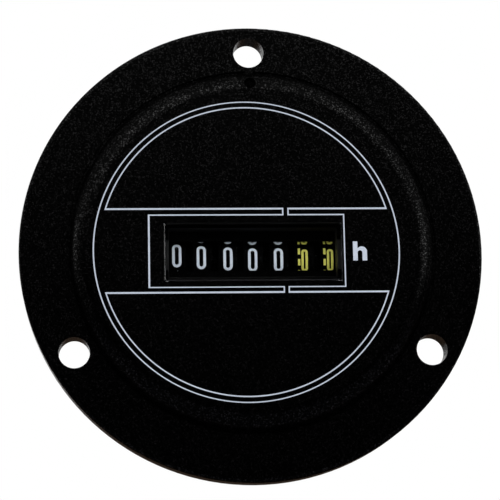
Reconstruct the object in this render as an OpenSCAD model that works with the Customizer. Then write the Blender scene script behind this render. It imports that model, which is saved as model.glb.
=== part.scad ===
// Round panel hour meter: flanged bezel with three bolt holes, a clear window over
// a seven-wheel counter, a geared stepping motor and a round case with two blades.
// Millimetres. X right, Y from the front into the panel, Z up.
// Origin: centre of the flange's back face, which lies on the panel.

/* [Bezel] */
// Diameter of the flange
flange_d = 72; // [65:0.5:90]
// Thickness of the flange
flange_t = 4; // [3:0.1:6]
// Rounding of the flange's front edge
flange_round = 0.6; // [0.2:0.1:1.2]
// Distance of the bolt holes' centres from the flange's edge
bolt_edge = 4.25; // [3.6:0.05:4.8]
// Diameter of each bolt hole
bolt_hole_d = 4.8; // [3.5:0.1:5.2]
// Number of bolt holes
bolt_count = 3; // [3:1:6]
// Width of the flange around the raised boss
flange_rim = 7.8; // [7.6:0.1:9]
// Height of the raised boss above the flange
boss_h = 2.5; // [2.3:0.1:4]
// Radius of the boss's rounded shoulder
boss_round = 3.2; // [0.5:0.1:3.4]
// Width of the groove around the boss
groove_w = 0.5; // [0.3:0.05:0.8]
// Depth of the groove around the boss
groove_depth = 0.4; // [0.2:0.05:0.8]
// Thickness of the front wall
face_wall = 2.5; // [2:0.1:2.8]
// Diameter of the gate recess at the top of the shoulder
gate_d = 1.8; // [1:0.1:2.6]
// Depth of the gate recess below the face
gate_depth = 1.2; // [0.8:0.1:2]
// Distance of the gate recess from the boss's edge
gate_edge = 1.9; // [1:0.05:2.2]
// Tilt of the gate recess
gate_tilt = 6; // [0:1:30]
// Width of the gate stub across the groove
stub_w = 1.3; // [0.6:0.1:2]
// Height of the gate stub above the flange
stub_h = 0.5; // [0.2:0.1:1]

/* [Case] */
// Diameter of the barrel behind the flange
barrel_d = 50.4; // [45.4:0.1:51.6]
// Length of the barrel behind the flange, with its rear wall
barrel_len = 40; // [39:0.5:60]
// Length of the bezel's skirt
skirt_len = 5; // [4:0.1:8]
// Wall of the bezel's skirt
skirt_wall = 1.2; // [1:0.05:1.4]
// Wall of the case's spigot inside the skirt
spigot_wall = 1.1; // [0.9:0.05:1.2]
// Height of the snap bead on the spigot
bead_h = 0.25; // [0.1:0.05:0.4]
// Thickness of the rear wall
rear_wall = 2; // [1.5:0.1:4]
// Chamfer of the rear edge
rear_chamfer = 0.8; // [0.3:0.1:1.2]
// Clearance of the spigot in the skirt
case_fit = 0.05; // [0.02:0.01:0.15]

/* [Terminals] */
// Width of each blade
blade_w = 6.3; // [4.8:0.1:6.6]
// Thickness of each blade
blade_t = 0.8; // [0.5:0.1:1]
// Length of each blade behind the case
blade_len = 8.5; // [6:0.5:14]
// Distance between the two blades
blade_pitch = 14; // [10:0.5:18]
// Clearance of a blade in its slot
blade_fit = 0.1; // [0.05:0.05:0.2]

/* [Window] */
// Width of the window
window_w = 27.6; // [26:0.1:28.4]
// Height of the window
window_h = 9.3; // [8:0.1:10]
// Rounding of the window's corners
window_corner = 0.3; // [0.15:0.05:0.4]
// Thickness of the lens's front plate
lens_t = 1.2; // [0.8:0.1:1.6]
// Wall of the lens's sides
lens_wall = 0.7; // [0.6:0.1:1.4]
// Chamfer of the lens's front edge
lens_chamfer = 0.15; // [0.1:0.05:0.6]
// Width of the lens's rear rim outside the window
lens_rim = 1.4; // [0.8:0.1:1.5]
// Thickness of the lens's rear rim
lens_rim_t = 1.2; // [0.8:0.1:1.5]
// How far the lens stands out of the face
lens_proud = 0.15; // [0:0.05:0.4]
// Clearance of the lens in the window
lens_fit = 0.1; // [0.05:0.05:0.2]

/* [Counter] */
// Diameter of a number wheel
wheel_d = 13.7; // [13.4:0.1:14.2]
// Distance between two number wheels
wheel_pitch = 4; // [3.9:0.05:4.1]
// Width of a number wheel's rim
rim_w = 2.9; // [2.6:0.05:3]
// Wall of a number wheel's rim
rim_wall = 0.8; // [0.6:0.1:1]
// Thickness of a number wheel's web
web_t = 1.2; // [0.8:0.1:1.6]
// Thickness of a number wheel's side gear
side_gear_t = 0.5; // [0.4:0.05:0.55]
// Sideways place of the counter
counter_x = 0.35; // [-0.5:0.05:0.5]
// Height of the counter's axis
counter_z = -0.8; // [-1.5:0.1:1.5]
// Diameter of the wheel shaft
wheel_shaft_d = 2; // [1.6:0.1:2.2]
// Diameter of the transfer pinions' shaft
pinion_shaft_d = 1; // [0.8:0.1:1.2]
// Angle of the transfer pinions' shaft about the wheel shaft
pinion_angle = -50; // [-60:1:-40]
// Height of the slot in the mask
slot_h = 4.7; // [4.4:0.1:5.4]
// Thickness of the mask
mask_t = 0.8; // [0.6:0.1:1.2]
// Gap between the mask and the wheels
mask_gap = 0.3; // [0.2:0.05:0.6]
// Thickness of the frame's side plates
plate_t = 1; // [0.8:0.1:1.2]
// Height of the frame's side plates at the wheels
plate_h = 17; // [16:0.1:17.4]
// Running clearance of everything that turns on a pin
run_fit = 0.05; // [0.03:0.01:0.08]

/* [Gear train] */
// Module of the wheel gears
wheel_module = 0.55; // [0.54:0.005:0.56]
// Module of the motor gears
motor_module = 0.32; // [0.31:0.005:0.33]
// Thickness of a motor gear
motor_gear_t = 0.6; // [0.4:0.05:0.7]
// Gap between two gear planes
plane_gap = 0.2; // [0.15:0.05:0.3]
// Diameter of the drive gear's pin
drive_pin_d = 1.2; // [1:0.1:1.3]
// Diameter of the reduction gear's pin
reduction_pin_d = 1; // [0.8:0.1:1.1]
// Diameter of the rotor's pin
rotor_pin_d = 0.8; // [0.6:0.1:1]
// Angle of the drive gear about the wheel shaft
drive_angle = 40; // [35:1:45]
// Angle of the reduction gear about the drive gear
reduction_angle = 0; // [-6:1:2]
// Angle of the rotor about the reduction gear
rotor_angle = -60; // [-65:1:-55]

/* [Motor] */
// Diameter of the rotor magnet
magnet_d = 5.2; // [4.4:0.1:5.4]
// Length of the rotor magnet
magnet_len = 3; // [2:0.1:3.2]
// Gap between the magnet and the stator
air_gap = 0.4; // [0.3:0.05:0.6]
// Thickness of the stator plate and of the coil's core
stator_t = 1; // [0.8:0.1:1.2]
// Half the distance between the stator's two arms
arm_offset = 6.8; // [6.4:0.1:7]
// Width of each stator arm
arm_w = 3; // [2.6:0.1:3.2]
// Side of the coil's square winding
coil_w = 5.4; // [4.6:0.1:5.6]
// Side of the bobbin's square flanges
bobbin_w = 6; // [5.7:0.1:6.2]
// Distance from the rotor to the coil's axis
coil_offset = 6.6; // [6.4:0.1:7]

/* [Electronics] */
// Gap between the circuit board's edge and the case
board_clear = 1.85; // [0.5:0.05:2.5]
// Distance between the circuit board's two flats
board_flat = 28; // [26:0.5:30]
// Thickness of the circuit board
board_t = 1.6; // [1:0.1:2]
// Gap between the circuit board and the rear wall
board_gap = 3.4; // [2.5:0.1:4]
// Diameter of the quartz crystal's can
can_d = 3; // [2:0.1:4]
// Length of the quartz crystal's can
can_len = 8; // [6:0.5:10]
// Width of the control chip
chip_w = 6; // [4:0.1:8]
// Height of the control chip
chip_h = 5; // [4:0.1:6]
// Thickness of the control chip
chip_t = 1.6; // [1:0.1:2]
// Diameter of the capacitor
capacitor_d = 6; // [4:0.1:7]
// Length of the capacitor
capacitor_len = 7; // [5:0.5:10]
// Width of the resistor
resistor_w = 3.2; // [2:0.1:4]
// Height of the resistor
resistor_h = 1.6; // [1:0.1:2]
// Thickness of the resistor
resistor_t = 0.7; // [0.4:0.1:1]
// Sideways distance of the board screws
board_screw_x = 14; // [13:0.1:15]
// Upright distance of the board screws
board_screw_z = 10; // [9.5:0.1:11]

/* [Screws] */
// Diameter of a screw's shank
screw_d = 1.8; // [1.4:0.1:2]
// Diameter of a screw's head
screw_head_d = 3.4; // [3:0.1:3.8]
// Height of a screw's head
screw_head_h = 1.1; // [0.8:0.1:1.4]
// Diameter of a screw boss
screw_boss_d = 4.2; // [3.8:0.1:4.4]
// Sideways distance of the frame screws from the frame's middle
frame_screw_side = 10; // [8:0.5:12]

/* [Hidden] */
$fn = 72;

// Small overlap that keeps cuts clean
eps = 0.05;
black = [0.06, 0.06, 0.065];
dark = [0.1, 0.1, 0.11];
steel = [0.72, 0.73, 0.75];
brass = [0.8, 0.64, 0.3];
copper = [0.72, 0.38, 0.2];

// Depths, front to back
y_face = -(flange_t + boss_h);
y_ceiling = y_face + face_wall;
shoulder_steep = 70;
shoulder_w = boss_round * sin(shoulder_steep);
y_mask = y_ceiling + lens_rim_t;
y_mask_back = y_mask + mask_t;
y_wheel = y_mask_back + mask_gap + wheel_d / 2;
y_rear = barrel_len;
y_rear_in = y_rear - rear_wall;
y_board_back = y_rear_in - board_gap;
y_board = y_board_back - board_t;

// Radii of the housing
boss_d = flange_d - 2 * flange_rim;
bolt_circle = flange_d - 2 * bolt_edge;
barrel_r = barrel_d / 2;
skirt_r = barrel_r - skirt_wall;
spigot_r = skirt_r - case_fit;
case_r = spigot_r - spigot_wall;
bead_back = skirt_len * 0.6;
bead_len = 1;
spigot_start = 0.5;

// Sideways places
wheel_count = 7;
function wheel_x(i) = counter_x + (i - (wheel_count - 1) / 2) * wheel_pitch;
wheel_half = rim_w / 2 + side_gear_t;
left_gap = 0.5;
float_gap = wheel_pitch - rim_w - 2 * side_gear_t;
x_left_in = wheel_x(0) - wheel_half - left_gap;
x_left = x_left_in - plate_t;
x_last = wheel_x(wheel_count - 1) + wheel_half;
x_plane_a = x_last + plane_gap;
x_plane_b = x_plane_a + motor_gear_t + plane_gap;
x_right_in = x_plane_b + motor_gear_t + plane_gap;
x_right = x_right_in + plate_t;
hub_end = x_right_in - plane_gap / 2;

// Gears: 20 degree involutes, the pinions with long and the wheels with short teeth
pressure = 20;
addendum = 0.8;
dedendum = 1.15;
shift = 0.3;
backlash = 0.06;
wheel_teeth = 20;
transfer_teeth = 8;
drive_teeth = 10;
large_teeth = 40;
small_teeth = 8;
function tip_r(z, m, x) = m * z / 2 + (addendum + x) * m;
function root_r(z, m, x) = m * z / 2 - (dedendum - x) * m;
function centre_distance(za, zb, m) = m * (za + zb) / 2;
function polar(r, a) = [r * cos(a), r * sin(a)];
function inv(a) = tan(a) * 180 / PI - a;
function half_tooth(z, m, x, q) =
    90 / z + (2 * x * tan(pressure) / z - backlash / (m * z)) * 180 / PI
    + inv(pressure) - inv(acos(min(1, m * z / 2 * cos(pressure) / q)));
function flank(z, m, x) =
    let (base = m * z / 2 * cos(pressure), low = root_r(z, m, x), high = tip_r(z, m, x))
    let (start = max(base, low), n = 2)
    concat(
        low < start ? [[low, half_tooth(z, m, x, start)]] : [],
        [for (i = [0:n]) let (q = start + (high - start) * i / n) [q, half_tooth(z, m, x, q)]]
    );
function tooth(z, m, x, a) =
    let (f = flank(z, m, x))
    concat(
        [for (p = f) polar(p[0], a - p[1])],
        [for (i = [len(f) - 1:-1:0]) polar(f[i][0], a + f[i][1])]
    );
// Angle of a tooth of gear B that meshes with gear A, whose tooth is at angle a,
// where gear B lies at angle phi from gear A
function mesh_angle(phi, za, a, zb) = phi + 180 - (a - phi) * za / zb + 180 / zb;

// Gear axes in the (Y, Z) plane
wheel_axis = [y_wheel, counter_z];
transfer_c = centre_distance(wheel_teeth, transfer_teeth, wheel_module);
drive_c = centre_distance(wheel_teeth, drive_teeth, wheel_module);
motor_c = centre_distance(large_teeth, small_teeth, motor_module);
pinion_axis = wheel_axis + polar(transfer_c, pinion_angle);
drive_axis = wheel_axis + polar(drive_c, drive_angle);
reduction_axis = drive_axis + polar(motor_c, reduction_angle);
rotor_axis = reduction_axis + polar(motor_c, rotor_angle);
transfer_phase = mesh_angle(pinion_angle, wheel_teeth, 0, transfer_teeth);
drive_phase = mesh_angle(drive_angle, wheel_teeth, 0, drive_teeth);
reduction_phase = mesh_angle(reduction_angle, large_teeth, 0, small_teeth);
rotor_phase = mesh_angle(rotor_angle, large_teeth, 0, small_teeth);

transfer_tip = tip_r(transfer_teeth, wheel_module, shift);
transfer_root = root_r(transfer_teeth, wheel_module, shift);
large_tip = tip_r(large_teeth, motor_module, -shift);
wheel_root = root_r(wheel_teeth, wheel_module, -shift);
carry_tip = transfer_c - transfer_tip - 0.15;
carry_r = carry_tip - 0.5;
hub_r = wheel_shaft_d / 2 + 1;
web_left = rim_w / 2 - web_t;
drive_hub_r = min(drive_pin_d / 2 + 0.35, motor_c - large_tip - 0.15);
shaft_boss_r = min(wheel_shaft_d / 2 + 0.5, drive_c - large_tip - 0.15);
clip_t = 0.5;
clip_wall = 0.55;
pin_over = 0.15;

// Motor
magnet_x = x_plane_b - magnet_len - 1.9;
stator_x = magnet_x + (magnet_len - stator_t) / 2;
core_x = stator_x + stator_t;
coil_axis = rotor_axis + [coil_offset, 0];
coil_x = core_x + stator_t / 2;
bobbin_half = arm_offset - arm_w / 2 - 0.2;
core_w = 3;
core_half = arm_offset + arm_w / 2;
rotor_hub_r = root_r(small_teeth, motor_module, shift) - 0.06;
rotor_left = magnet_x - 0.1;
coil_pin_r = 0.3;
coil_pin_z = bobbin_half - 0.5;
post_d = screw_d + 1.6;

// Places of the electronic components on the board, as shares of the blades' distance
can_at = [-blade_pitch * 0.43, -blade_pitch * 0.64];
chip_at = [0, blade_pitch * 0.57];
capacitor_at = [-blade_pitch, blade_pitch * 0.36];
resistor_at = [-blade_pitch * 0.93, -blade_pitch * 0.23];

// Frame and its screws
frame_middle = (x_left + x_right) / 2;
frame_screw_x = [frame_middle - frame_screw_side, frame_middle + frame_screw_side];
frame_screw_z = plate_h / 2 + screw_head_d / 2 + 0.6;
plate_over = 2.15;
plate_back = y_wheel + wheel_d / 2 + plate_over;
board_d = 2 * (case_r - board_clear);
hood_t = 1;
hood_len = 6;
screw_bite = 3;

// Extrudes a (X, Z) outline from y0 to y1
module from_front(y0, y1) {
    translate([0, y1, 0]) rotate([90, 0, 0]) linear_extrude(y1 - y0) children();
}

// Extrudes a (Y, Z) outline from x0 to x1
module from_side(x0, x1) {
    translate([x0, 0, 0]) rotate([90, 0, 90]) linear_extrude(x1 - x0) children();
}

// Turns a (radius, Y) profile about the Y axis
module turned() {
    rotate([-90, 0, 0]) rotate_extrude($fn = 144) children();
}

// Cylinder along Y
module rod_y(x, z, r, y0, y1) {
    translate([x, y1, z]) rotate([90, 0, 0]) cylinder(r = r, h = y1 - y0);
}

// Cylinder along X about an axis in the (Y, Z) plane
module rod_x(axis, r, x0, x1) {
    translate([x0, axis[0], axis[1]]) rotate([90, 0, 90]) cylinder(r = r, h = x1 - x0);
}

// Box from its lowest to its highest corner
module box(low, high) {
    translate(low) cube(high - low);
}

// Rectangle with round corners, centred
module round_rect(w, h, r) {
    square([w - 2 * r, h], center = true);
    square([w, h - 2 * r], center = true);
    for (sx = [-1, 1], sy = [-1, 1])
        translate([sx * (w / 2 - r), sy * (h / 2 - r)]) circle(r = r, $fn = 32);
}

// Gear outline with every step-th tooth
module gear_outline(z, m, x, step = 1) {
    circle(r = root_r(z, m, x));
    polygon(step == 1
        ? [for (k = [0:z - 1]) each tooth(z, m, x, k * 360 / z)]
        : [for (k = [0:step:z - 1]) each tooth(z, m, x, k * 360 / z)]);
}

// Gear along X about an axis, with one tooth at the angle phase
module gear_x(axis, z, m, x, phase, x0, x1, step = 1) {
    from_side(x0, x1) translate(axis) rotate(phase) gear_outline(z, m, x, step);
}

module bezel_profile() {
    r = boss_d / 2;
    f = flange_d / 2;
    difference() {
        union() {
            translate([0, y_face]) square([r - shoulder_w, boss_h + eps]);
            if (boss_round < boss_h)
                translate([0, y_face + boss_round]) square([r, boss_h - boss_round + eps]);
            intersection() {
                translate([r - shoulder_w, y_face + boss_round]) circle(r = boss_round);
                translate([0, y_face]) square([r, boss_h + eps]);
            }
            translate([0, -flange_t]) square([f - flange_round, flange_t]);
            translate([0, -flange_t + flange_round]) square([f, flange_t - flange_round]);
            translate([f - flange_round, -flange_t + flange_round]) circle(r = flange_round);
            translate([0, -eps]) square([barrel_r, skirt_len + eps]);
        }
        translate([-f, -flange_t - boss_h]) square([f, 2 * f]);
        translate([0, y_ceiling]) square([skirt_r, skirt_len - y_ceiling + eps]);
        translate([0, bead_back - bead_len / 2]) square([skirt_r + bead_h, bead_len]);
        translate([r, -flange_t - eps]) square([groove_w, groove_depth + eps]);
    }
}

module bezel() {
    color(black) difference() {
        union() {
            turned() bezel_profile();
            for (x = frame_screw_x, s = [-1, 1])
                rod_y(x, counter_z + s * frame_screw_z, screw_boss_d / 2, y_ceiling - eps, y_mask);
            box([-stub_w / 2, -flange_t - stub_h, boss_d / 2 - shoulder_w / 2],
                [stub_w / 2, -flange_t + groove_depth + eps, boss_d / 2 + groove_w + eps]);
        }
        for (i = [0:bolt_count - 1]) {
            p = polar(bolt_circle / 2, 90 + i * 360 / bolt_count);
            rod_y(p[0], p[1], bolt_hole_d / 2, -flange_t - 1, 1);
        }
        from_front(y_face - 1, y_ceiling + eps)
            translate([0, counter_z]) round_rect(window_w, window_h, window_corner);
        for (x = frame_screw_x, s = [-1, 1])
            rod_y(x, counter_z + s * frame_screw_z, screw_d / 2, y_mask_back - screw_bite - 0.3,
                y_mask + eps);
        translate([0, y_face + gate_depth, boss_d / 2 - gate_edge]) rotate([90 + gate_tilt, 0, 0])
            cylinder(d = gate_d, h = gate_depth + 2);
    }
}

// Block with its front edges chamfered on all four sides
module chamfered_block(w, h, y0, y1, c) {
    intersection() {
        translate([0, 0, counter_z - h / 2]) linear_extrude(h)
            polygon([[-w / 2, y1], [-w / 2, y0 + c], [-w / 2 + c, y0],
                [w / 2 - c, y0], [w / 2, y0 + c], [w / 2, y1]]);
        from_side(-w / 2, w / 2)
            polygon([[y1, counter_z - h / 2], [y0 + c, counter_z - h / 2],
                [y0, counter_z - h / 2 + c], [y0, counter_z + h / 2 - c],
                [y0 + c, counter_z + h / 2], [y1, counter_z + h / 2]]);
    }
}

module lens() {
    w = window_w - 2 * lens_fit;
    h = window_h - 2 * lens_fit;
    y0 = y_face - lens_proud;
    color([0.75, 0.8, 0.85, 0.35]) difference() {
        union() {
            chamfered_block(w, h, y0, y_mask, lens_chamfer);
            from_front(y_ceiling, y_mask) translate([0, counter_z])
                square([window_w + 2 * lens_rim, window_h + 2 * lens_rim], center = true);
        }
        from_front(y0 + lens_t, y_mask + 1) translate([0, counter_z])
            square([w - 2 * lens_wall, h - 2 * lens_wall], center = true);
    }
}

module case_profile() {
    difference() {
        union() {
            translate([0, skirt_len])
                square([barrel_r - rear_chamfer, y_rear - skirt_len]);
            polygon([[0, skirt_len], [barrel_r, skirt_len], [barrel_r, y_rear - rear_chamfer],
                [barrel_r - rear_chamfer, y_rear], [0, y_rear]]);
            translate([0, spigot_start]) square([spigot_r, skirt_len - spigot_start + eps]);
            polygon([[spigot_r - eps, bead_back - bead_len / 2 + case_fit],
                [spigot_r + bead_h, bead_back], [spigot_r - eps, bead_back + bead_len / 2 - case_fit]]);
        }
        translate([-barrel_d, 0]) square([barrel_d, 2 * y_rear]);
        translate([0, spigot_start - eps]) square([case_r, y_rear_in - spigot_start + eps]);
    }
}

module case() {
    color(black) difference() {
        union() {
            turned() case_profile();
            for (s = [-1, 1])
                rod_y(s * board_screw_x, s * board_screw_z, screw_boss_d / 2, y_board_back,
                    y_rear_in + eps);
        }
        for (s = [-1, 1]) {
            rod_y(s * board_screw_x, s * board_screw_z, screw_d / 2, y_board_back - eps,
                y_board + screw_bite + 0.3);
            from_front(y_rear_in - 1, y_rear + 1) translate([s * blade_pitch / 2, 0])
                square([blade_t + 2 * blade_fit, blade_w + 2 * blade_fit], center = true);
        }
    }
}

module mask_outline() {
    translate([frame_middle, counter_z]) square([x_right - x_left, plate_h], center = true);
    for (x = frame_screw_x) {
        translate([x, counter_z]) square([screw_boss_d, 2 * frame_screw_z], center = true);
        for (s = [-1, 1])
            translate([x, counter_z + s * frame_screw_z]) circle(r = screw_boss_d / 2);
    }
}

module left_plate_outline() {
    translate([(y_mask + plate_back) / 2, counter_z])
        round_rect(plate_back - y_mask, plate_h, 0.5);
}

module right_plate_outline() {
    low = coil_axis[1] - core_half - 0.3;
    high = counter_z + plate_h / 2;
    back = coil_axis[0] + post_d / 2;
    left_plate_outline();
    translate([(y_wheel + back) / 2, (low + high) / 2])
        round_rect(back - y_wheel, high - low, 1.5);
}

module counter_frame() {
    top = counter_z + plate_h / 2;
    bottom = counter_z - plate_h / 2;
    color(dark) difference() {
        union() {
            from_front(y_mask, y_mask_back) mask_outline();
            from_side(x_left, x_left_in) left_plate_outline();
            from_side(x_right_in, x_right) right_plate_outline();
            box([x_left, y_mask, top - hood_t], [x_right, y_mask_back + hood_len, top]);
            box([x_left, y_mask, bottom], [x_right, y_mask_back + hood_len, bottom + hood_t]);
            rod_x(wheel_axis, hub_r, x_left_in - eps, wheel_x(0) - wheel_half - float_gap);
            rod_x(wheel_axis, shaft_boss_r, x_last + float_gap, x_right_in + eps);
            for (s = [-1, 1])
                rod_x(coil_axis + [0, s * arm_offset], post_d / 2, core_x + stator_t, x_right_in + eps);
        }
        from_front(y_mask - 1, y_mask_back + eps)
            translate([(x_left_in + x_right_in) / 2, counter_z])
                square([window_w + 1.2, slot_h], center = true);
        for (x = frame_screw_x, s = [-1, 1])
            rod_y(x, counter_z + s * frame_screw_z, screw_d / 2, y_mask - 1, y_mask_back + 1);
        rod_x(wheel_axis, wheel_shaft_d / 2, x_left - 1, x_right + 1);
        rod_x(pinion_axis, pinion_shaft_d / 2, x_left - 1, x_right + 1);
        rod_x(drive_axis, drive_pin_d / 2, x_right_in - 1, x_right + 1);
        rod_x(reduction_axis, reduction_pin_d / 2, x_right_in - 1, x_right + 1);
        rod_x(rotor_axis, rotor_pin_d / 2, x_right_in - 1, x_right + 1);
        for (s = [-1, 1])
            rod_x(coil_axis + [0, s * arm_offset], screw_d / 2, core_x, x_right + 1);
    }
}

module wheel_shaft() {
    color(steel) rod_x(wheel_axis, wheel_shaft_d / 2, x_left, x_right);
}

module pinion_shaft() {
    color(steel) rod_x(pinion_axis, pinion_shaft_d / 2, x_left, x_right);
}

// Number wheel i, counted from the left: rim, web, hub, a side gear on its right
// and a sleeve with two carry teeth on its left
module number_wheel(i) {
    x = wheel_x(i);
    color(dark) difference() {
        union() {
            difference() {
                rod_x(wheel_axis, wheel_d / 2, x - rim_w / 2, x + rim_w / 2);
                rod_x(wheel_axis, wheel_d / 2 - rim_wall, x - rim_w / 2 - 1, x + web_left);
            }
            rod_x(wheel_axis, hub_r, x - wheel_half, x + wheel_half);
            difference() {
                union() {
                    rod_x(wheel_axis, carry_r, x - wheel_half, x + web_left + eps);
                    for (a = [pinion_angle + 180 - 9, pinion_angle + 180 + 9])
                        from_side(x - wheel_half, x - rim_w / 2) translate(wheel_axis) rotate(a)
                            translate([carry_r - 0.3, -0.35]) square([carry_tip - carry_r + 0.3, 0.7]);
                }
                rod_x(wheel_axis, carry_r - 0.7, x - wheel_half - 1, x + web_left);
            }
            gear_x(wheel_axis, wheel_teeth, wheel_module, -shift, 0, x + rim_w / 2 - eps,
                x + wheel_half);
        }
        rod_x(wheel_axis, wheel_shaft_d / 2 + run_fit, x - wheel_half - 1, x + wheel_half + 1);
    }
}

// Transfer pinion between number wheels i and i + 1: eight teeth on the left half,
// every second one on the right half
module transfer_pinion(i) {
    gap_left = wheel_x(i) + rim_w / 2;
    gap_right = wheel_x(i + 1) - rim_w / 2;
    side = float_gap;
    middle = (gap_left + gap_right) / 2;
    color([0.85, 0.84, 0.8]) difference() {
        union() {
            gear_x(pinion_axis, transfer_teeth, wheel_module, shift, transfer_phase,
                gap_left + side, middle);
            gear_x(pinion_axis, transfer_teeth, wheel_module, shift, transfer_phase,
                middle - eps, gap_right - side, 2);
        }
        rod_x(pinion_axis, pinion_shaft_d / 2 + run_fit, gap_left, gap_right);
    }
}

module hundredths_wheel() { number_wheel(6); }
module tenths_wheel() { number_wheel(5); }
module units_wheel() { number_wheel(4); }
module tens_wheel() { number_wheel(3); }
module hundreds_wheel() { number_wheel(2); }
module thousands_wheel() { number_wheel(1); }
module ten_thousands_wheel() { number_wheel(0); }
module transfer_pinion_1() { transfer_pinion(5); }
module transfer_pinion_2() { transfer_pinion(4); }
module transfer_pinion_3() { transfer_pinion(3); }
module transfer_pinion_4() { transfer_pinion(2); }
module transfer_pinion_5() { transfer_pinion(1); }
module transfer_pinion_6() { transfer_pinion(0); }

drive_left = wheel_x(wheel_count - 1) + rim_w / 2 + 0.1;
reduction_left = x_plane_a;

module drive_gear() {
    color([0.9, 0.89, 0.84]) difference() {
        union() {
            gear_x(drive_axis, drive_teeth, wheel_module, shift, drive_phase, drive_left,
                x_plane_a + eps);
            gear_x(drive_axis, large_teeth, motor_module, -shift, 0, x_plane_a,
                x_plane_a + motor_gear_t);
            rod_x(drive_axis, drive_hub_r, x_plane_a, hub_end);
        }
        rod_x(drive_axis, drive_pin_d / 2 + run_fit, drive_left - 1, x_right);
    }
}

module reduction_gear() {
    color([0.9, 0.89, 0.84]) difference() {
        union() {
            gear_x(reduction_axis, small_teeth, motor_module, shift, reduction_phase,
                reduction_left, x_plane_b + eps);
            gear_x(reduction_axis, large_teeth, motor_module, -shift, 0, x_plane_b,
                x_plane_b + motor_gear_t);
            rod_x(reduction_axis, reduction_pin_d / 2 + 0.6, x_plane_b, hub_end);
        }
        rod_x(reduction_axis, reduction_pin_d / 2 + run_fit, reduction_left - 1, x_right);
    }
}

module rotor_hub() {
    color([0.9, 0.89, 0.84]) difference() {
        union() {
            gear_x(rotor_axis, small_teeth, motor_module, shift, rotor_phase, x_plane_b,
                x_plane_b + motor_gear_t);
            rod_x(rotor_axis, rotor_hub_r, rotor_left, hub_end);
        }
        rod_x(rotor_axis, rotor_pin_d / 2 + run_fit, rotor_left - 1, x_right);
    }
}

module rotor_magnet() {
    color([0.3, 0.3, 0.32]) difference() {
        rod_x(rotor_axis, magnet_d / 2, magnet_x, magnet_x + magnet_len);
        rod_x(rotor_axis, rotor_hub_r, magnet_x - 1, magnet_x + magnet_len + 1);
    }
}

// Pins that the train turns on: axis, radius and the left end of what turns
train_pins = [
    [drive_axis, drive_pin_d / 2, drive_left],
    [reduction_axis, reduction_pin_d / 2, reduction_left],
    [rotor_axis, rotor_pin_d / 2, rotor_left]
];

module train_pin(p) {
    color(steel) rod_x(p[0], p[1], p[2] - run_fit - clip_t - pin_over, x_right);
}

module drive_pin() { train_pin(train_pins[0]); }
module reduction_pin() { train_pin(train_pins[1]); }
module rotor_pin() { train_pin(train_pins[2]); }

// Push-on rings at the free ends of the three pins
module gear_clips() {
    color(brass) for (p = train_pins) difference() {
        rod_x(p[0], p[1] + clip_wall, p[2] - run_fit - clip_t, p[2] - run_fit);
        rod_x(p[0], p[1], p[2] - 2, p[2] + 1);
    }
}

module stator() {
    front = magnet_d / 2 + air_gap + 1.8;
    back = coil_offset + arm_w / 2;
    reach = arm_offset + arm_w / 2;
    inside = arm_offset - arm_w / 2;
    color([0.6, 0.61, 0.63]) difference() {
        from_side(stator_x, stator_x + stator_t) translate(rotor_axis) difference() {
            polygon([[-front, -reach + 3.5], [-front + 3.5, -reach], [back, -reach],
                [back, -inside], [coil_offset - bobbin_w / 2 - 0.3, -inside],
                [coil_offset - bobbin_w / 2 - 0.3, inside], [back, inside],
                [back, reach], [-front + 3.5, reach], [-front, reach - 3.5]]);
            circle(r = magnet_d / 2 + air_gap);
        }
        for (s = [-1, 1])
            rod_x(coil_axis + [0, s * arm_offset], screw_d / 2, stator_x - 1, core_x + 1);
    }
}

module coil_core() {
    color([0.66, 0.67, 0.69]) difference() {
        from_side(core_x, core_x + stator_t) translate(coil_axis)
            square([core_w, 2 * core_half], center = true);
        for (s = [-1, 1])
            rod_x(coil_axis + [0, s * arm_offset], screw_d / 2, core_x - 1, core_x + stator_t + 1);
    }
}

module coil_square(w, z0, z1) {
    translate([coil_x - w / 2, coil_axis[0] - w / 2, coil_axis[1] + z0]) cube([w, w, z1 - z0]);
}

bobbin_flange = 1;
bobbin_tube = core_w + 0.8;

module coil_bobbin() {
    color([0.12, 0.2, 0.34]) difference() {
        union() {
            coil_square(bobbin_tube, -bobbin_half, bobbin_half);
            coil_square(bobbin_w, bobbin_half - bobbin_flange, bobbin_half);
            coil_square(bobbin_w, -bobbin_half, -bobbin_half + bobbin_flange);
        }
        from_side(core_x, core_x + stator_t) translate(coil_axis)
            square([core_w, 2 * core_half], center = true);
        coil_pin_rods();
    }
}

module coil_winding() {
    color(copper) difference() {
        coil_square(coil_w, -bobbin_half + bobbin_flange, bobbin_half - bobbin_flange);
        coil_square(bobbin_tube, -bobbin_half, bobbin_half);
    }
}

module coil_pin_rods() {
    for (s = [-1, 1])
        rod_y(coil_x, coil_axis[1] + s * coil_pin_z, coil_pin_r,
            coil_axis[0] + bobbin_w / 2 - 1, y_board_back + 0.6);
}

module coil_pins() {
    color(brass) coil_pin_rods();
}

// Screw along X with its head on the left
module screw_x(axis, x, bite) {
    rod_x(axis, screw_head_d / 2, x - screw_head_h, x);
    rod_x(axis, screw_d / 2, x - eps, x + bite);
}

module motor_screws() {
    color(steel) for (s = [-1, 1])
        screw_x(coil_axis + [0, s * arm_offset], stator_x, x_right - stator_x);
}

module circuit_board() {
    color([0.05, 0.28, 0.16]) difference() {
        from_front(y_board, y_board_back) intersection() {
            circle(r = board_d / 2);
            square([board_d, board_flat], center = true);
        }
        for (s = [-1, 1]) {
            rod_y(s * board_screw_x, s * board_screw_z, screw_d / 2, y_board - 1, y_board_back + 1);
            rod_y(coil_x, coil_axis[1] + s * coil_pin_z, coil_pin_r + 0.05, y_board - 1,
                y_board_back + 1);
            from_front(y_board - 1, y_board_back + 1) translate([s * blade_pitch / 2, 0])
                square([blade_t, blade_w / 2], center = true);
        }
    }
}

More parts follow.
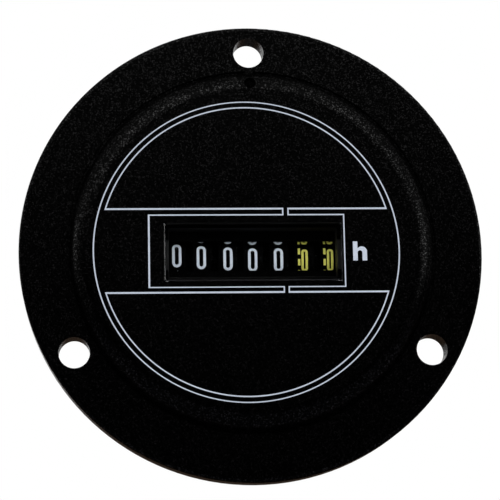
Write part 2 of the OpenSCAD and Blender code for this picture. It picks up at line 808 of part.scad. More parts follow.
module quartz_crystal() {
    color([0.8, 0.81, 0.83]) translate([can_at[0], y_board - can_d / 2, can_at[1]]) rotate([0, 90, 0])
        cylinder(d = can_d, h = can_len, center = true);
}

module control_chip() {
    color([0.12, 0.12, 0.13]) box([chip_at[0] - chip_w / 2, y_board - chip_t, chip_at[1] - chip_h / 2],
        [chip_at[0] + chip_w / 2, y_board, chip_at[1] + chip_h / 2]);
}

module capacitor() {
    color([0.16, 0.17, 0.2]) rod_y(capacitor_at[0], capacitor_at[1], capacitor_d / 2,
        y_board - capacitor_len, y_board);
}

module resistor() {
    color([0.2, 0.2, 0.22]) box(
        [resistor_at[0] - resistor_w / 2, y_board - resistor_t, resistor_at[1] - resistor_h / 2],
        [resistor_at[0] + resistor_w / 2, y_board, resistor_at[1] + resistor_h / 2]);
}

// Flat blade with a narrow tail in the board, a shoulder behind it and a bevelled tip
module terminal(s) {
    tip = 1.2;
    tail = blade_w / 4;
    shoulder = blade_w / 2 + 0.8;
    half = blade_w / 2;
    end = y_rear + blade_len;
    color(brass) difference() {
        translate([s * blade_pitch / 2, 0, 0]) from_side(-blade_t / 2, blade_t / 2)
            polygon([[y_board - 0.6, -tail], [y_board_back, -tail], [y_board_back, -shoulder],
                [y_rear_in, -shoulder], [y_rear_in, -half], [end - tip, -half],
                [end, -half + tip], [end, half - tip], [end - tip, half],
                [y_rear_in, half], [y_rear_in, shoulder], [y_board_back, shoulder],
                [y_board_back, tail], [y_board - 0.6, tail]]);
        rod_x([end - blade_len / 2 + 0.6, 0], 0.85, s * blade_pitch / 2 - 1, s * blade_pitch / 2 + 1);
    }
}

module terminal_left() { terminal(-1); }
module terminal_right() { terminal(1); }

module frame_screws() {
    color(steel) for (x = frame_screw_x, s = [-1, 1]) {
        z = counter_z + s * frame_screw_z;
        rod_y(x, z, screw_head_d / 2, y_mask_back, y_mask_back + screw_head_h);
        rod_y(x, z, screw_d / 2, y_mask_back - screw_bite, y_mask_back + eps);
    }
}

module board_screws() {
    color(steel) for (s = [-1, 1]) {
        rod_y(s * board_screw_x, s * board_screw_z, screw_head_d / 2, y_board - screw_head_h, y_board);
        rod_y(s * board_screw_x, s * board_screw_z, screw_d / 2, y_board - eps, y_board + screw_bite);
    }
}

bezel();
lens();
case();
counter_frame();
wheel_shaft();
pinion_shaft();
hundredths_wheel();
tenths_wheel();
units_wheel();
tens_wheel();
hundreds_wheel();
thousands_wheel();
ten_thousands_wheel();
transfer_pinion_1();
transfer_pinion_2();
transfer_pinion_3();
transfer_pinion_4();
transfer_pinion_5();
transfer_pinion_6();
drive_gear();
drive_pin();
reduction_gear();
reduction_pin();
rotor_hub();
rotor_magnet();
rotor_pin();
gear_clips();
stator();
coil_core();
coil_bobbin();
coil_winding();
coil_pins();
motor_screws();
circuit_board();
quartz_crystal();
control_chip();
capacitor();
resistor();
terminal_left();
terminal_right();
frame_screws();
board_screws();
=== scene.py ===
"""Round panel hour meter: printed marks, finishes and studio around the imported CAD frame.

Lengths in the classes are millimetres in the CAD frame (X right, Y into the panel, Z up);
they become metres when a mesh is made.
"""

import logging
import math
from dataclasses import dataclass, field
from enum import Enum
from functools import cache
from typing import Protocol

import bmesh
import bpy
import numpy as np
from mathutils import Matrix, Vector


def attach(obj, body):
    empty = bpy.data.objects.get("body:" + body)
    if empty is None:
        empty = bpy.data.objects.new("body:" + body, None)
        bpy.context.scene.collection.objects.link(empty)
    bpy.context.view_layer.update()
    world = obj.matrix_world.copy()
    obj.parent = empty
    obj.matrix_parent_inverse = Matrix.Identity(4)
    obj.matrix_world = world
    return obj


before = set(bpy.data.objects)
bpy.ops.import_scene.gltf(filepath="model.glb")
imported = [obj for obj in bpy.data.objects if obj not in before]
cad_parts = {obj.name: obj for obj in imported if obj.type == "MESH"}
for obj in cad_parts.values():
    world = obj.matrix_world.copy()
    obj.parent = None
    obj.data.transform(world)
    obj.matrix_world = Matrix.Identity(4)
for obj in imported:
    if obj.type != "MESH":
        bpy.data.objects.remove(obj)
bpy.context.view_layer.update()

Array = np.ndarray
Colour = tuple[float, float, float]
Group = bpy.types.ShaderNodeTree
Material = bpy.types.Material
Node = bpy.types.Node
Pair = tuple[float, float]
Socket = bpy.types.NodeSocket
Triple = tuple[float, float, float]

LOG = logging.getLogger("hour_meter")
MM = 0.001
WHITE = (1.0, 1.0, 1.0)
# Length of one band of a wave texture at a scale of 1
WAVE_BAND = 0.314
# Least distance in mm between two points of a path
LEAST_STEP = 1e-6
# Least divisor in a printed line's side vector, which keeps sharp corners short
LEAST_MITRE = 0.35
# Height of a printed line's sides as a share of its rise
SIDE_SHARE = 0.4
# Width of a printed line's top as a share of its width
TOP_SHARE = 0.86
# Height of an open line's end as a share of its rise
END_LIFT = 1.12
# Points on a sign's quarter-round corner, on its bows and on its wide bows
CORNER_POINTS = 9
BOW_POINTS = 20
WIDE_BOW_POINTS = 24


class Drum(Enum):
    """Number wheels from left to right, by the name of their node and body."""

    TEN_THOUSANDS = "ten_thousands_wheel"
    THOUSANDS = "thousands_wheel"
    HUNDREDS = "hundreds_wheel"
    TENS = "tens_wheel"
    UNITS = "units_wheel"
    TENTHS = "tenths_wheel"
    HUNDREDTHS = "hundredths_wheel"

    @property
    def place(self) -> int:
        """Number of wheels to the left of this one."""
        return list(Drum).index(self)


class Axis(Enum):
    """Direction that a drawn or turned grain runs along: scale of its pattern in X, Y and Z."""

    X = (0.04, 1.0, 1.0)
    Y = (1.0, 0.04, 1.0)
    Z = (1.0, 1.0, 0.04)


# Shared helpers for node trees


class Tree:
    """Short calls for adding and joining the nodes of one node tree."""

    def __init__(self, tree: bpy.types.NodeTree) -> None:
        """Keeps the tree.

        Args:
            tree: the node tree that nodes are added to.
        """
        self.tree = tree

    def add(self, kind: str, **values: object) -> Node:
        """Adds a node and sets its properties and input values.

        Args:
            kind: node type name.
            values: node properties by name; an input is named with spaces as underscores.

        Returns:
            The new node.
        """
        node = self.tree.nodes.new(kind)
        for name, value in values.items():
            if hasattr(node, name):
                setattr(node, name, value)
            else:
                node.inputs[name.replace("_", " ")].default_value = value
        return node

    def join(self, source: Socket, target: Socket) -> None:
        """Links an output socket to an input socket."""
        self.tree.links.new(source, target)

    def math(self, operation: str, *terms: float | Socket) -> Socket:
        """Adds a Math node.

        Args:
            operation: Blender's name of the operation.
            terms: numbers or output sockets, in order.

        Returns:
            The result socket.
        """
        node = self.add("ShaderNodeMath", operation=operation)
        for place, term in enumerate(terms):
            if isinstance(term, Socket):
                self.join(term, node.inputs[place])
            else:
                node.inputs[place].default_value = term
        return node.outputs[0]

    def spread(
        self, value: Socket, low: float, high: float, start: float = 0.0, end: float = 1.0
    ) -> Socket:
        """Maps a value from start..end to low..high, clamped.

        Args:
            value: socket that is mapped.
            low: result at start.
            high: result at end.
            start: value that gives low.
            end: value that gives high.

        Returns:
            The mapped socket.
        """
        node = self.add("ShaderNodeMapRange", From_Min=start, From_Max=end, To_Min=low, To_Max=high)
        self.join(value, node.inputs["Value"])
        return node.outputs["Result"]

    def mask(self, value: Socket, start: float, end: float) -> Socket:
        """Maps a value from start..end to 0..1, clamped."""
        return self.spread(value, 0.0, 1.0, start, end)

    def place(self) -> Socket:
        """Adds the Object coordinates."""
        return self.add("ShaderNodeTexCoord").outputs["Object"]

    def blend(self, share: Socket, first: Colour | Socket, second: Colour | Socket) -> Socket:
        """Mixes two colours by a value.

        Args:
            share: socket from 0, the first colour, to 1, the second.
            first: linear colour or colour socket at 0.
            second: linear colour or colour socket at 1.

        Returns:
            The colour socket.
        """
        node = self.add("ShaderNodeMix", data_type="RGBA")
        self.join(share, node.inputs["Factor"])
        colours = [socket for socket in node.inputs if socket.type == "RGBA"]
        for socket, colour in zip(colours, (first, second)):
            if isinstance(colour, Socket):
                self.join(colour, socket)
            else:
                socket.default_value = (*colour, 1.0)
        return next(socket for socket in node.outputs if socket.type == "RGBA")


class Effect:
    """Shader node groups that several finishes share, each built once."""

    @staticmethod
    def start(name: str, *outputs: str) -> tuple[Tree, Node, Node]:
        """Makes an empty group with the inputs Vector and Grain.

        Args:
            name: name of the group.
            outputs: names of the value outputs.

        Returns:
            The group's tree, its input node and its output node.
        """
        group = bpy.data.node_groups.new(name, "ShaderNodeTree")
        group.interface.new_socket(name="Vector", in_out="INPUT", socket_type="NodeSocketVector")
        group.interface.new_socket(name="Grain", in_out="INPUT", socket_type="NodeSocketFloat")
        for label in outputs:
            group.interface.new_socket(name=label, in_out="OUTPUT", socket_type="NodeSocketFloat")
        tree = Tree(group)
        return tree, tree.add("NodeGroupInput"), tree.add("NodeGroupOutput")

    @staticmethod
    def texture(tree: Tree, source: Node, kind: str, share: float, **values: object) -> Node:
        """Adds a texture to a group.

        Args:
            tree: the group's tree.
            source: the group's input node.
            kind: node type name.
            share: scale of the texture as a share of Grain.
            values: node properties and input values by name.

        Returns:
            The texture node.
        """
        node = tree.add(kind, **values)
        tree.join(source.outputs["Vector"], node.inputs["Vector"])
        tree.join(tree.math("MULTIPLY", source.outputs["Grain"], share), node.inputs["Scale"])
        return node

    @staticmethod
    @cache
    def moulded_grain() -> Group:
        """Spark-eroded mould texture: Height of pebbles and pits, Gloss, and sparse bright Specks.

        Returns:
            The group, with inputs Vector and Grain (pebbles per metre).
        """
        pit_share = 0.45
        tree, source, out = Effect.start("moulded_grain", "Height", "Gloss", "Speck")
        pebble = Effect.texture(tree, source, "ShaderNodeTexNoise", share=1.0, Detail=3.0, Roughness=0.62)
        pits = Effect.texture(
            tree, source, "ShaderNodeTexVoronoi", share=0.8, feature="SMOOTH_F1", Smoothness=0.6
        )
        speck = Effect.texture(tree, source, "ShaderNodeTexVoronoi", share=2.2, feature="F1", Randomness=1.0)
        chance = tree.add("ShaderNodeSeparateColor")
        tree.join(speck.outputs["Color"], chance.inputs["Color"])
        height = tree.math("MULTIPLY_ADD", pits.outputs["Distance"], pit_share, pebble.outputs["Fac"])
        tree.join(height, out.inputs["Height"])
        tree.join(tree.mask(pebble.outputs["Fac"], start=0.3, end=0.7), out.inputs["Gloss"])
        tree.join(tree.mask(chance.outputs["Red"], start=0.82, end=1.0), out.inputs["Speck"])
        return tree.tree

    @staticmethod
    @cache
    def drawn_metal() -> Group:
        """Fine scratches along one direction: Height, Gloss and Tone, all 0 to 1.

        Returns:
            The group, with inputs Vector (already stretched along the grain) and Grain (lines per metre).
        """
        tree, source, out = Effect.start("drawn_metal", "Height", "Gloss", "Tone")
        lines = Effect.texture(tree, source, "ShaderNodeTexNoise", share=1.0, Detail=5.0, Roughness=0.7)
        stain = Effect.texture(tree, source, "ShaderNodeTexNoise", share=0.08, Detail=3.0, Roughness=0.5)
        tree.join(lines.outputs["Fac"], out.inputs["Height"])
        tree.join(tree.mask(lines.outputs["Fac"], start=0.25, end=0.75), out.inputs["Gloss"])
        tree.join(tree.mask(stain.outputs["Fac"], start=0.3, end=0.7), out.inputs["Tone"])
        return tree.tree

    @staticmethod
    @cache
    def ink_film() -> Group:
        """Pad-printed ink over grain: Cover of the ink, its Height and Gloss, all 0 to 1.

        Returns:
            The group, with inputs Vector and Grain (specks per metre).
        """
        cloud_share = 0.5
        tree, source, out = Effect.start("ink_film", "Cover", "Height", "Gloss")
        speck = Effect.texture(tree, source, "ShaderNodeTexNoise", share=1.0, Detail=2.0, Roughness=0.6)
        cloud = Effect.texture(tree, source, "ShaderNodeTexNoise", share=0.12, Detail=3.0, Roughness=0.5)
        mixed = tree.math("MULTIPLY_ADD", cloud.outputs["Fac"], cloud_share, speck.outputs["Fac"])
        tree.join(tree.mask(mixed, start=0.4, end=0.95), out.inputs["Cover"])
        tree.join(speck.outputs["Fac"], out.inputs["Height"])
        tree.join(tree.mask(cloud.outputs["Fac"], start=0.3, end=0.7), out.inputs["Gloss"])
        return tree.tree


def new_material(name: str) -> tuple[Material, Tree, Node]:
    """Makes a material with one Principled shader.

    Args:
        name: name of the material.

    Returns:
        The material, its tree and the Principled node.
    """
    material = bpy.data.materials.new(name)
    material.use_nodes = True
    tree = Tree(material.node_tree)
    return material, tree, material.node_tree.nodes["Principled BSDF"]


def put_bump(tree: Tree, shader: Node, height: Socket, depth_mm: float) -> None:
    """Raises the surface by a height value.

    Args:
        tree: the material's tree.
        shader: its Principled node.
        height: socket of the height.
        depth_mm: relief in mm at a height of 1.
    """
    bump = tree.add("ShaderNodeBump", Strength=1.0, Distance=depth_mm * MM)
    tree.join(height, bump.inputs["Height"])
    tree.join(bump.outputs["Normal"], shader.inputs["Normal"])


def put_effect(tree: Tree, group: Group, place: Socket, grain_mm: float) -> Node:
    """Places a shared effect in a material.

    Args:
        tree: the material's tree.
        group: the effect's node group.
        place: coordinates that its pattern follows.
        grain_mm: size of its grain.

    Returns:
        The group node.
    """
    node = tree.add("ShaderNodeGroup", node_tree=group, Grain=1.0 / (grain_mm * MM))
    tree.join(place, node.inputs["Vector"])
    return node


def put_bands(tree: Tree, direction: str, band_mm: float, waver: float) -> Socket:
    """Adds bands that follow one another along an axis.

    Args:
        tree: the material's tree.
        direction: X, Y or Z.
        band_mm: distance from one band to the next.
        waver: how far the bands stray from straight.

    Returns:
        The bands' socket, from 0 to 1.
    """
    scale = WAVE_BAND / (band_mm * MM)
    bands = tree.add(
        "ShaderNodeTexWave", bands_direction=direction, Scale=scale, Detail=1.0, Distortion=waver
    )
    tree.join(tree.place(), bands.inputs["Vector"])
    return bands.outputs["Fac"]


def let_through(tree: Tree, shader: Node, rays: Socket) -> None:
    """Lets some rays straight through a material.

    Args:
        tree: the material's tree.
        shader: its Principled node.
        rays: socket that is 1 for those rays and 0 for the rest.
    """
    clear = tree.add("ShaderNodeBsdfTransparent")
    either = tree.add("ShaderNodeMixShader")
    tree.join(rays, either.inputs["Fac"])
    tree.join(shader.outputs["BSDF"], either.inputs[1])
    tree.join(clear.outputs["BSDF"], either.inputs[2])
    tree.join(either.outputs["Shader"], tree.tree.nodes["Material Output"].inputs["Surface"])


# Finishes


class Finish(Protocol):
    """What every finish can do."""

    def material(self) -> Material:
        """Builds the material."""


@dataclass(frozen=True)
class MouldedPlastic:
    """Moulded plastic with a fine eroded texture."""

    name: str
    dark: Colour
    light: Colour
    rough: Pair
    shine: float = 0.5
    grain_mm: float = 0.3
    depth_mm: float = 0.01
    glint: float = 0.0

    def material(self) -> Material:
        """Builds the material: specks lighten the colour and weight a glinting coat, pebbles drive roughness
        and bump; on a plastic that glints, the lighter specks in the colour are painted glints.

        Returns:
            The new material.
        """
        material, tree, shader = new_material(self.name)
        grain = put_effect(tree, Effect.moulded_grain(), tree.place(), self.grain_mm)
        # Specks lighten the base colour; on the glinting bezel this lighter colour is painted glint
        tree.join(tree.blend(grain.outputs["Speck"], self.dark, self.light), shader.inputs["Base Color"])
        tree.join(tree.spread(grain.outputs["Gloss"], *self.rough), shader.inputs["Roughness"])
        shader.inputs["Specular IOR Level"].default_value = self.shine
        if self.glint:
            tree.join(tree.spread(grain.outputs["Speck"], 0.0, self.glint), shader.inputs["Coat Weight"])
            shader.inputs["Coat Roughness"].default_value = self.rough[0]
        put_bump(tree, shader, grain.outputs["Height"], self.depth_mm)
        return material


@dataclass(frozen=True)
class DrawnMetal:
    """Rolled, drawn or turned metal with grain along one direction."""

    name: str
    dark: Colour
    light: Colour
    rough: Pair
    along: Axis
    grain_mm: float = 0.12
    depth_mm: float = 0.004

    def material(self) -> Material:
        """Builds the material: stains drive colour, scratches roughness and bump.

        Returns:
            The new material.
        """
        material, tree, shader = new_material(self.name)
        stretch = tree.add("ShaderNodeMapping", Scale=self.along.value)
        tree.join(tree.place(), stretch.inputs["Vector"])
        grain = put_effect(tree, Effect.drawn_metal(), stretch.outputs["Vector"], self.grain_mm)
        tree.join(tree.blend(grain.outputs["Tone"], self.dark, self.light), shader.inputs["Base Color"])
        tree.join(tree.spread(grain.outputs["Gloss"], *self.rough), shader.inputs["Roughness"])
        shader.inputs["Metallic"].default_value = 1.0
        put_bump(tree, shader, grain.outputs["Height"], self.depth_mm)
        return material


@dataclass(frozen=True)
class PrintInk:
    """Opaque printing ink that thins slightly in specks."""

    name: str
    thin: Colour
    full: Colour
    rough: Pair = (0.42, 0.58)
    shine: float = 0.2
    grain_mm: float = 0.22
    depth_mm: float = 0.006

    def material(self) -> Material:
        """Builds the material: the film's cover drives colour, its gloss the roughness.

        Returns:
            The new material.
        """
        material, tree, shader = new_material(self.name)
        film = put_effect(tree, Effect.ink_film(), tree.place(), self.grain_mm)
        tree.join(tree.blend(film.outputs["Cover"], self.thin, self.full), shader.inputs["Base Color"])
        tree.join(tree.spread(film.outputs["Gloss"], *self.rough), shader.inputs["Roughness"])
        shader.inputs["Specular IOR Level"].default_value = self.shine
        put_bump(tree, shader, film.outputs["Height"], self.depth_mm)
        return material


@dataclass(frozen=True)
class ClearPlastic:
    """Clear plastic, polished in front and dull on the walls behind its plate; the walls' near-black colour
    is painted shade.
    """

    name: str
    tint: Colour
    ior: float = 1.49
    wave_mm: float = 4.0
    depth_mm: float = 0.004
    wall_from: Pair = (-5.44, -5.40)
    painted_shade_wall: Colour = (0.004, 0.004, 0.004)
    rough: Pair = (0.02, 0.5)

    def material(self) -> Material:
        """Builds the material: glass with a faint moulding wave, clear to shadow and diffuse rays.

        Returns:
            The new material.
        """
        material, tree, shader = new_material(self.name)
        place = tree.place()
        wave = tree.add("ShaderNodeTexNoise", Scale=1.0 / (self.wave_mm * MM), Detail=1.0)
        tree.join(place, wave.inputs["Vector"])
        axes = tree.add("ShaderNodeSeparateXYZ")
        tree.join(place, axes.inputs["Vector"])
        painted_shade_wall = tree.mask(axes.outputs["Y"], *(edge * MM for edge in self.wall_from))
        # Painted shade: the walls behind the plate get a near-black colour
        tree.join(tree.blend(painted_shade_wall, self.tint, self.painted_shade_wall), shader.inputs["Base Color"])
        tree.join(tree.spread(painted_shade_wall, *self.rough), shader.inputs["Roughness"])
        shader.inputs["IOR"].default_value = self.ior
        shader.inputs["Transmission Weight"].default_value = 1.0
        put_bump(tree, shader, wave.outputs["Fac"], self.depth_mm)
        path = tree.add("ShaderNodeLightPath")
        let_through(
            tree, shader, tree.math("MAXIMUM", path.outputs["Is Shadow Ray"], path.outputs["Is Diffuse Ray"])
        )
        return material


@dataclass(frozen=True)
class WoundWire:
    """Enamelled wire wound in close turns round an upright core."""

    name: str
    dark: Colour
    light: Colour
    rough: Pair = (0.5, 0.28)
    wire_mm: float = 0.16
    waver: float = 0.6
    depth_mm: float = 0.08

    def material(self) -> Material:
        """Builds the material: bands along Z give the turns of wire; the darker colour in the grooves
        between turns is painted shade.

        Returns:
            The new material.
        """
        material, tree, shader = new_material(self.name)
        turns = put_bands(tree, "Z", self.wire_mm, self.waver)
        # Painted shade: the colour darkens in the grooves between the turns
        tree.join(tree.blend(turns, self.dark, self.light), shader.inputs["Base Color"])
        tree.join(tree.spread(turns, *self.rough), shader.inputs["Roughness"])
        shader.inputs["Metallic"].default_value = 1.0
        put_bump(tree, shader, turns, self.depth_mm)
        return material


@dataclass(frozen=True)
class BoardLaminate:
    """Glass-fibre laminate under green solder resist, with a faint weave."""

    name: str
    dark: Colour
    light: Colour
    rough: Pair = (0.42, 0.3)
    weave_mm: float = 0.5
    waver: float = 0.4
    depth_mm: float = 0.01

    def material(self) -> Material:
        """Builds the material: two crossed bands give the weave.

        Returns:
            The new material.
        """
        material, tree, shader = new_material(self.name)
        bands = [put_bands(tree, direction, self.weave_mm, self.waver) for direction in ("X", "Z")]
        weave = tree.math("MULTIPLY", *bands)
        tree.join(tree.blend(weave, self.dark, self.light), shader.inputs["Base Color"])
        tree.join(tree.spread(weave, *self.rough), shader.inputs["Roughness"])
        put_bump(tree, shader, weave, self.depth_mm)
        return material


# Bezel: the lighter colour of its sparse specks is painted glint; the coat on the same specks gives real
# gloss
BEZEL_BLACK_PAINTED_GLINTS = MouldedPlastic(
    "bezel_black_painted_glints", (0.0001, 0.0001, 0.0001), (0.0026, 0.002, 0.0025), rough=(0.22, 0.28),
    shine=0.027, grain_mm=0.28, depth_mm=0.022, glint=1.0,
)
CASE_BLACK = MouldedPlastic(
    "case_black", (0.004, 0.0038, 0.004), (0.008, 0.0076, 0.008), rough=(0.42, 0.56),
    shine=0.3, grain_mm=0.4, depth_mm=0.03,
)
MASK_BLACK = MouldedPlastic(
    "mask_black", (0.0002, 0.0002, 0.0002), (0.0005, 0.0005, 0.0006), rough=(0.6, 0.75),
    shine=0.02, grain_mm=0.25, depth_mm=0.015,
)
WHEEL_BLACK = MouldedPlastic(
    "wheel_black", (0.0004, 0.0004, 0.0005), (0.0012, 0.0012, 0.0014), rough=(0.5, 0.65),
    shine=0.03, depth_mm=0.012,
)
GEAR_WHITE = MouldedPlastic("gear_white", (0.55, 0.54, 0.5), (0.68, 0.67, 0.63), rough=(0.35, 0.5))
BOBBIN_GREY = MouldedPlastic("bobbin_grey", (0.18, 0.18, 0.19), (0.26, 0.26, 0.27), rough=(0.4, 0.55))
CHIP_BLACK = MouldedPlastic(
    "chip_black", (0.012, 0.012, 0.013), (0.02, 0.02, 0.021), rough=(0.5, 0.65), shine=0.4, grain_mm=0.15
)
SLEEVE_BLUE = MouldedPlastic(
    "sleeve_blue", (0.012, 0.014, 0.03), (0.02, 0.023, 0.045), rough=(0.2, 0.32), grain_mm=0.5
)
MAGNET_GREY = MouldedPlastic(
    "magnet_grey", (0.05, 0.05, 0.052), (0.09, 0.09, 0.092), rough=(0.45, 0.6), grain_mm=0.2, depth_mm=0.015
)
PIN_STEEL = DrawnMetal("pin_steel", (0.5, 0.5, 0.52), (0.62, 0.62, 0.64), (0.16, 0.3), Axis.X)
SCREW_STEEL = DrawnMetal("screw_steel", (0.46, 0.46, 0.47), (0.6, 0.6, 0.6), (0.22, 0.38), Axis.Y)
STATOR_IRON = DrawnMetal("stator_iron", (0.32, 0.32, 0.33), (0.44, 0.44, 0.45), (0.3, 0.45), Axis.Z)
CAN_METAL = DrawnMetal("can_metal", (0.58, 0.58, 0.6), (0.7, 0.7, 0.72), (0.14, 0.28), Axis.X)
CLIP_BRASS = DrawnMetal("clip_brass", (0.5, 0.36, 0.12), (0.66, 0.5, 0.2), (0.2, 0.34), Axis.Z)
BLADE_BRASS = DrawnMetal("blade_brass", (0.56, 0.42, 0.17), (0.74, 0.59, 0.29), (0.2, 0.36), Axis.Y)
# The lens is clear; its walls behind the plate carry painted shade
LENS_CLEAR_PAINTED_SHADE_WALLS = ClearPlastic("lens_clear", (0.97, 0.985, 1.0))
COIL_COPPER_PAINTED_SHADE = WoundWire("coil_copper", (0.3, 0.1, 0.03), (0.72, 0.3, 0.12))
BOARD_GREEN = BoardLaminate("board_green", (0.008, 0.05, 0.02), (0.015, 0.08, 0.034))
FACE_INK = PrintInk("face_ink", (0.455, 0.51, 0.61), (0.625, 0.68, 0.79))
# Digit inks are lighter than the face ink to make up for the shade inside the window: their colour is partly
# painted light
DIGIT_WHITE_PAINTED_LIGHT = PrintInk("digit_white_painted_light", (0.68, 0.76, 0.93), (0.87, 0.95, 1.0))
DIGIT_YELLOW_PAINTED_LIGHT = PrintInk("digit_yellow_painted_light", (0.68, 0.66, 0.112), (0.93, 0.905, 0.182))


# Shared helpers for meshes


@dataclass(frozen=True)
class Sheet:
    """A mesh as arrays: points in mm and faces as lists of point numbers."""

    points: Array
    faces: list[list[int]]

    @staticmethod
    def joined(sheets: list["Sheet"]) -> "Sheet":
        """Puts several sheets into one.

        Args:
            sheets: the sheets, in order.

        Returns:
            One sheet that holds them all.
        """
        starts = np.cumsum([0] + [len(s.points) for s in sheets])
        faces = [[i + int(n) for i in face] for s, n in zip(sheets, starts) for face in s.faces]
        return Sheet(np.concatenate([s.points for s in sheets]), faces)


def arc(centre: Pair, radii: Pair, start: float, end: float, count: int) -> Array:
    """Points on an ellipse: centre + (rx cos a, ry sin a) for a from start to end.

    Args:
        centre: middle of the ellipse.
        radii: its two half widths.
        start: first angle in degrees.
        end: last angle in degrees.
        count: number of points.

    Returns:
        Array of count points.
    """
    a = np.radians(np.linspace(start, end, count))
    return np.stack([centre[0] + radii[0] * np.cos(a), centre[1] + radii[1] * np.sin(a)], 1)


def dense(path: Array, step: float, closed: bool) -> Array:
    """Adds points along a path so that none lie further apart than a step; its own points stay.

    Args:
        path: points of the path.
        step: largest distance between points.
        closed: whether the last point joins the first.

    Returns:
        The finer path.
    """
    ring = np.concatenate([path, path[:1]]) if closed else path
    run = np.concatenate([[0.0], np.cumsum(np.linalg.norm(np.diff(ring, axis=0), axis=1))])
    stops = np.union1d(run, np.arange(0.0, run[-1], step))
    stops = stops[np.concatenate([[True], np.diff(stops) > LEAST_STEP])]
    fine = np.stack([np.interp(stops, run, ring[:, k]) for k in (0, 1)], 1)
    return fine[:-1] if closed else fine


def ribbon(path: Array, width: float | Array, rise: float, sink: float, closed: bool) -> Sheet:
    """Printed line: a flat-topped profile carried along a plane path, mitred at corners.

    With n1, n2 the left normals and w1, w2 the widths of the stretches before and after a point, and
    c = n1 . n2, the side vector is
    m = (w1 + w2) (n1 + n2) / 4 (1 + c) + (w2 - w1) (n2 - n1) / 4 (1 - c);
    a point is (path + s m, h) for the profile (s, h). An open line rises towards its end, so that strokes
    that cross don't share a plane.

    Args:
        path: (u, v) points in mm.
        width: width of the line, or of the stretch after each point.
        rise: height of its top over the surface.
        sink: depth of its base under the surface.
        closed: whether the line is a loop.

    Returns:
        The line as (u, v, h) points.
    """
    steps = np.roll(path, -1, 0) - path
    normal = np.stack([-steps[:, 1], steps[:, 0]], 1) / np.linalg.norm(steps, axis=1)[:, None]
    before = np.roll(normal, 1, 0)
    if not closed:
        normal[-1] = before[-1]
        before[0] = normal[0]
    after = np.broadcast_to(width, len(path)) / 4
    mean, change = after + np.roll(after, 1), after - np.roll(after, 1)
    turn = np.sum(normal * before, 1)
    side = (normal + before) * (mean / np.maximum(1.0 + turn, LEAST_MITRE))[:, None]
    side += (normal - before) * (change / np.maximum(1.0 - turn, LEAST_MITRE))[:, None]
    edge = SIDE_SHARE * rise
    base = [(-1.0, -sink), (1.0, -sink)]
    profile = np.array(base + [(1.0, edge), (TOP_SHARE, rise), (-TOP_SHARE, rise), (-1.0, edge)])
    lift = np.linspace(1.0, 1.0 if closed else END_LIFT, len(path))
    plane = path[:, None, :] + side[:, None, :] * profile[None, :, :1]
    height = np.where(profile[None, :, 1] > 0, profile[None, :, 1] * lift[:, None], profile[None, :, 1])
    points = np.concatenate([plane, height[..., None]], 2)
    return grid_sheet(points, closed)


def grid_sheet(points: Array, closed: bool) -> Sheet:
    """Joins rings of points into a tube, with flat ends where it is open.

    Args:
        points: array of stations by ring points by 3.
        closed: whether the last station joins the first.

    Returns:
        The tube.
    """
    stations, ring = points.shape[:2]
    number = np.arange(stations * ring).reshape(stations, ring)
    here = number if closed else number[:-1]
    after = np.roll(number, -1, 0) if closed else number[1:]
    faces = np.stack([here, np.roll(here, -1, 1), np.roll(after, -1, 1), after], -1).reshape(-1, 4).tolist()
    if not closed:
        faces += [number[0, ::-1].tolist(), number[-1].tolist()]
    return Sheet(points.reshape(-1, 3), faces)


def plate(outline: Array, rise: float, sink: float) -> Sheet:
    """Filled sign: an outline carried from its base to its top, with flat ends.

    Args:
        outline: (u, v) points in mm.
        rise: height of its top over the surface.
        sink: depth of its base under the surface.

    Returns:
        The plate as (u, v, h) points.
    """
    levels = np.array([-sink, rise])
    flat = np.broadcast_to(outline[None], (2, *outline.shape))
    height = np.broadcast_to(levels[:, None, None], (2, len(outline), 1))
    return grid_sheet(np.concatenate([flat, height], 2), False)


def make_piece(name: str, sheet: Sheet, material: Material, body: str) -> None:
    """Makes a mesh object from a sheet, at the origin, riding on a body.

    Args:
        name: name of the piece.
        sheet: its mesh in mm, in the CAD frame.
        material: its material.
        body: CAD body that it moves with.
    """
    mesh = bpy.data.meshes.new(name)
    mesh.from_pydata((sheet.points * MM).tolist(), [], sheet.faces)
    work = bmesh.new()
    work.from_mesh(mesh)
    bmesh.ops.recalc_face_normals(work, faces=work.faces[:])
    work.to_mesh(mesh)
    work.free()
    mesh.materials.append(material)
    piece = bpy.data.objects.new(name, mesh)
    bpy.context.scene.collection.objects.link(piece)
    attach(piece, body)
    LOG.info("piece %s: %d faces on %s", name, len(mesh.polygons), body)


def dress(node: str, material: Material) -> None:
    """Gives a CAD node its material.

    Args:
        node: name of the CAD node.
        material: material for all its slots.
    """
    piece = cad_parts[node]
    if not piece.material_slots:
        piece.data.materials.append(material)
    for place in piece.material_slots:
        place.material = material
    LOG.info("node %s: %s", node, material.name)


def dress_all(*pairs: tuple[tuple[str, ...], Finish]) -> None:
    """Builds each finish once and gives it to its nodes.

    Args:
        pairs: names of CAD nodes and the finish that they share.
    """
    for nodes, finish in pairs:
        material = finish.material()
        for node in nodes:
            dress(node, material)


# Sub-assemblies


